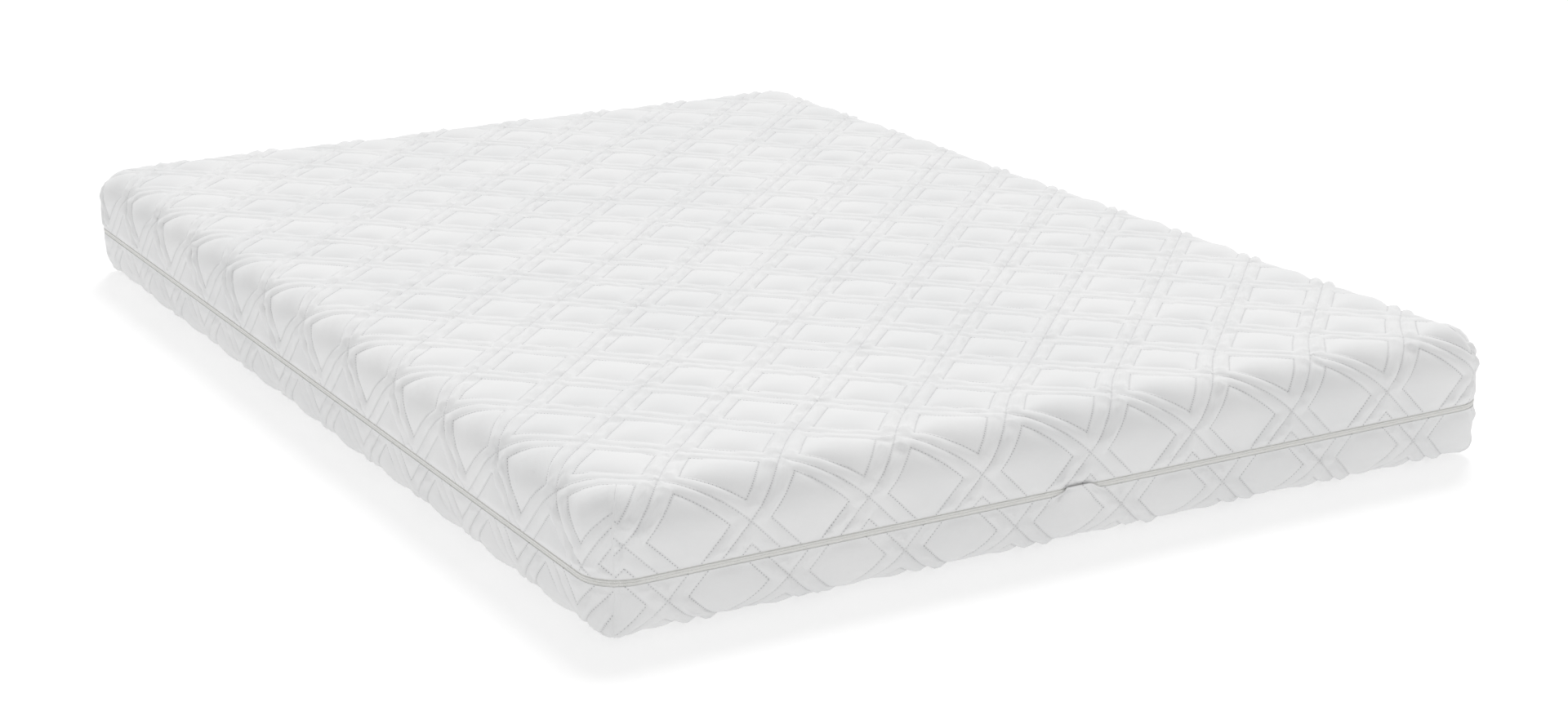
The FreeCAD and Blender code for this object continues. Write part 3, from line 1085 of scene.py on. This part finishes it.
def sewn_shade_masks(graph, x, y):
    """Two masks from pattern coordinates, used for painted shade and relief: the valley beside each sewn
    line, and its needle holes.
    """
    near_x = graph.math("PINGPONG", x, PITCH / 2)
    near_y = graph.math("PINGPONG", y, PITCH / 2)
    valleys = []
    holes = []
    for near, along, other in ((near_x, y, near_y), (near_y, x, near_x)):
        step = graph.math("PINGPONG", along, STITCH_STEP / 2)
        hole = graph.band(step, 0.75 * MM, 0.35 * MM)
        outer = graph.math("ABSOLUTE", graph.math("SUBTRACT", near, CHANNEL))
        in_cell = graph.band(other, CHANNEL - 0.6 * MM, CHANNEL)
        for distance, allowed in ((near, None), (outer, in_cell)):
            valley = graph.band(distance, 2.6 * MM, 0.2 * MM)
            row = graph.band(distance, 0.8 * MM, 0.4 * MM)
            if allowed is not None:
                valley = graph.times(valley, allowed)
                row = graph.times(row, allowed)
            valleys.append(valley)
            holes.append(graph.times(row, hole))
    return graph.highest(valleys), graph.highest(holes)


def knit_material():
    """White stretch knit of the cover, with painted shade in the sewn valleys and needle holes."""
    graph = Graph("cover_knit")
    pattern, x, y = graph.pattern()
    valley, hole = sewn_shade_masks(graph, x, y)
    tone = graph.band(graph.noise(5.0), 0.35, 0.65)
    fine = graph.noise(900.0, 2.0)
    colour = graph.mix(tone, grey(0.80), rgb(0.765, 0.768, 0.77))
    colour = graph.mix(graph.times(fine, 0.25), colour, grey(0.70))
    # painted shade in the sewn valleys beside the stitch lines
    colour = graph.mix(graph.times(valley, 0.12), colour, rgb(0.45, 0.45, 0.46))
    # painted shade at the needle holes between the stitches
    colour = graph.mix(graph.times(hole, 0.75), colour, rgb(0.16, 0.16, 0.17))
    loops = graph.cells(pattern, 850.0)
    pucker = graph.times(graph.noise(160.0, 1.0), valley)
    normal = graph.bump(loops, 0.25 * MM, 0.5)
    normal = graph.bump(pucker, 0.9 * MM, 0.7, normal)
    return graph.finish(colour, 0.88, normal, sheen=0.25)


def lining_material():
    """Thin off-white non-woven backing, with painted shade in the valleys and needle holes of the
    quilting that is sewn through it.
    """
    graph = Graph("lining_nonwoven")
    _, x, y = graph.pattern()
    valley, hole = sewn_shade_masks(graph, x, y)
    fibre = graph.noise(420.0, 5.0)
    colour = graph.mix(fibre, rgb(0.74, 0.73, 0.71), rgb(0.66, 0.65, 0.63))
    # painted shade in the sewn valleys
    colour = graph.mix(graph.times(valley, 0.2), colour, grey(0.5))
    # painted shade at the needle holes
    colour = graph.mix(graph.times(hole, 0.6), colour, grey(0.2))
    height = graph.math("SUBTRACT", fibre, graph.times(valley, 2.5))
    return graph.finish(colour, 0.93, graph.bump(height, 0.5 * MM, 0.6), sheen=0.1)


def fibre_material(name, scale, light, dark, roughness, relief, sheen=0.0):
    """A material whose colour and relief both follow one fine noise."""
    graph = Graph(name)
    fibre = graph.noise(scale, 2.0)
    colour = graph.mix(fibre, light, dark)
    return graph.finish(colour, roughness, graph.bump(fibre, *relief), sheen)


def thread_material():
    """Twisted white sewing thread."""
    dark = rgb(0.66, 0.66, 0.67)
    return fibre_material("sewing_thread", 2200.0, grey(0.82), dark, 0.6, (0.1 * MM, 0.5), 0.2)


def tape_material():
    """Beige-grey woven zip tape with fine ribs."""
    graph = Graph("zip_tape_weave")
    ribs = graph.math("PINGPONG", graph.split(graph.place)[2], RIB_SPACING)
    ribs = graph.math("DIVIDE", ribs, RIB_SPACING)
    fibre = graph.noise(1500.0, 3.0)
    colour = graph.mix(fibre, rgb(0.90, 0.90, 0.88), rgb(0.84, 0.84, 0.82))
    height = graph.math("ADD", ribs, fibre)
    return graph.finish(colour, 0.85, graph.bump(height, 0.3 * MM, 0.6), sheen=0.1)


def coil_material():
    """Satin nylon of the zip coils."""
    tones = (rgb(0.82, 0.82, 0.80), rgb(0.76, 0.76, 0.74))
    return fibre_material("zip_coil_nylon", 700.0, *tones, 0.45, (0.1 * MM, 0.4))


def metal_material():
    """Nickel-plated zinc with fine casting marks."""
    graph = Graph("zip_nickel")
    cast = graph.noise(600.0, 4.0)
    colour = graph.mix(cast, rgb(0.62, 0.61, 0.59), rgb(0.45, 0.44, 0.43))
    rough = graph.math("ADD", graph.times(cast, 0.25), 0.18)
    return graph.finish(colour, rough, graph.bump(cast, 0.1 * MM, 0.4), metallic=1.0)


def label_material():
    """Blank satin care label."""
    tones = (rgb(0.86, 0.86, 0.85), rgb(0.78, 0.78, 0.77))
    return fibre_material("label_satin", 1800.0, *tones, 0.4, (0.08 * MM, 0.5), 0.1)


def foam_material(name, light, dark, scale):
    """Open-cell foam: fine pores and a few larger ones in the relief, with painted shade in both, and
    slight colour variation.
    """
    graph = Graph(name)
    cells = graph.cells(graph.place, scale)
    large = graph.cells(graph.place, scale / 5)
    pores = graph.band(cells, 0.15, 0.5)
    pits = graph.band(large, 0.0, 0.16)
    tone = graph.noise(6.0)
    colour = graph.mix(tone, light, dark)
    # painted shade in the larger pits
    shade = graph.times(graph.math("SUBTRACT", 1.0, pits), 0.5)
    colour = graph.mix(shade, colour, rgb(*(0.6 * c for c in dark[:3])))
    # painted shade in the fine pores
    colour = graph.mix(graph.times(pores, 0.3), colour, rgb(*(0.75 * c for c in dark[:3])))
    height = graph.math("ADD", graph.times(pits, 1.5), graph.math("SUBTRACT", 1.0, pores))
    return graph.finish(colour, 0.95, graph.bump(height, 0.7 * MM, 0.6))


def floor_material():
    """Plain white studio floor, lit a little from below."""
    graph = Graph("studio_floor")
    colour = graph.mix(graph.noise(3.0), grey(0.62), grey(0.60))
    graph.shader.inputs["Emission Color"].default_value = grey(1)
    graph.shader.inputs["Emission Strength"].default_value = FLOOR_GLOW
    return graph.finish(colour, 0.9)


# The stage

FLOOR_GLOW = 0.47
SKY_STRENGTH = 0.69
SUN_STRENGTH = 1.65
SUN_SPREAD = 28
SUN_PLACE = (3.0, 4.0, 6.0)
HORIZON_BAND = 0.06
FLOOR_SIZE = 30.0


def make_floor():
    """A wide plain floor."""
    corners = [(x * FLOOR_SIZE, y * FLOOR_SIZE, 0) for x, y in ((-1, -1), (1, -1), (1, 1), (-1, 1))]
    mesh_object("floor", corners, [(0, 1, 2, 3)], floor_material())


def make_key_light():
    """One wide soft light from high on the right."""
    lamp = bpy.data.lights.new("key", "SUN")
    lamp.angle = math.radians(SUN_SPREAD)
    lamp.energy = SUN_STRENGTH
    obj = linked("key", lamp)
    obj.location = SUN_PLACE
    obj.rotation_euler = (-Vector(SUN_PLACE)).to_track_quat("-Z", "Y").to_euler()


def make_world(strength):
    """Even white surroundings, brightest in a narrow band round the horizon."""
    world = bpy.data.worlds.new("studio")
    world.use_nodes = True
    nodes = world.node_tree.nodes
    links = world.node_tree.links
    background = nodes["Background"]
    background.inputs["Color"].default_value = grey(1)
    direction = nodes.new("ShaderNodeTexCoord")
    split = nodes.new("ShaderNodeSeparateXYZ")
    level = nodes.new("ShaderNodeMapRange")
    links.new(direction.outputs["Generated"], split.inputs[0])
    links.new(split.outputs["Z"], level.inputs["Value"])
    ends = {"From Min": HORIZON_BAND, "From Max": 2 * HORIZON_BAND, "To Min": 1.0, "To Max": strength}
    for name, value in ends.items():
        level.inputs[name].default_value = value
    links.new(level.outputs["Result"], background.inputs["Strength"])
    bpy.context.scene.world = world


LENS = 64.25
SENSOR_WIDTH = 36
CAMERA_AZIMUTH = -29.764
CAMERA_ELEVATION = 16.978
CAMERA_ROLL = -0.2589
CAMERA_DISTANCE = 4.40644
CAMERA_RIGHT = 0.109025
CAMERA_UP = -0.092388
CAMERA_TARGET = Vector((0, 0, 0.1))


def make_camera():
    """The camera in front of the foot end, left of the middle."""
    turn = Matrix.Rotation(math.radians(CAMERA_AZIMUTH), 4, "Z")
    turn @= Matrix.Rotation(math.radians(90 - CAMERA_ELEVATION), 4, "X")
    turn @= Matrix.Rotation(math.radians(CAMERA_ROLL), 4, "Z")
    shift = Vector((CAMERA_RIGHT, CAMERA_UP, CAMERA_DISTANCE))
    camera = bpy.data.cameras.new("camera")
    camera.lens = LENS
    camera.sensor_width = SENSOR_WIDTH
    obj = linked("camera", camera)
    obj.matrix_world = Matrix.Translation(CAMERA_TARGET) @ turn @ Matrix.Translation(shift)
    bpy.context.scene.camera = obj


def paint_node(node, material):
    """A new material on a CAD node that is kept."""
    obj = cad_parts[node]
    obj.data.materials.clear()
    obj.data.materials.append(material)


BLOWN = blown_cells()


def make_everything():
    """The whole object and its stage."""
    knit = knit_material()
    lining = lining_material()
    thread = thread_material()
    metal = metal_material()
    coil = coil_material()
    make_cover_half(TOP, ("top_quilt", "top_cover"), "top_cover", knit, lining)
    make_cover_half(BOTTOM, ("bottom_quilt", "bottom_cover"), "bottom_cover", knit, lining)
    make_threads("top_quilting_thread", TOP, "top_cover", thread)
    make_threads("bottom_quilting_thread", BOTTOM, "bottom_cover", thread)
    make_corner_seams(TOP, "top_cover_corner_seams", "top_cover", knit)
    make_corner_seams(BOTTOM, "bottom_cover_corner_seams", "bottom_cover", knit)
    make_zip_tapes(tape_material())
    cream = foam_material("memory_foam_cells", rgb(0.82, 0.77, 0.62), rgb(0.76, 0.70, 0.54), 900.0)
    blue = foam_material("support_foam_cells", rgb(0.60, 0.68, 0.74), rgb(0.53, 0.61, 0.68), 600.0)
    top_radius = TOP_EDGE_RADIUS - FOAM_DEPTH
    bottom_radius = BOTTOM_EDGE_RADIUS - FOAM_DEPTH
    make_foam("memory_foam_layer", 0, top_radius, cream)
    make_foam("support_foam_core", bottom_radius, 0, blue)
    make_coil("upper", "top_cover", coil)
    make_coil("lower", "bottom_cover", coil)
    for node in ("zip_stop_upper", "zip_stop_lower", "zip_slider"):
        paint_node(node, metal)
    make_garage("bottom_cover", knit)
    make_label(label_material())
    make_floor()
    make_world(SKY_STRENGTH)
    make_key_light()
    make_camera()
    bpy.context.scene.view_settings.view_transform = "Standard"


make_everything()
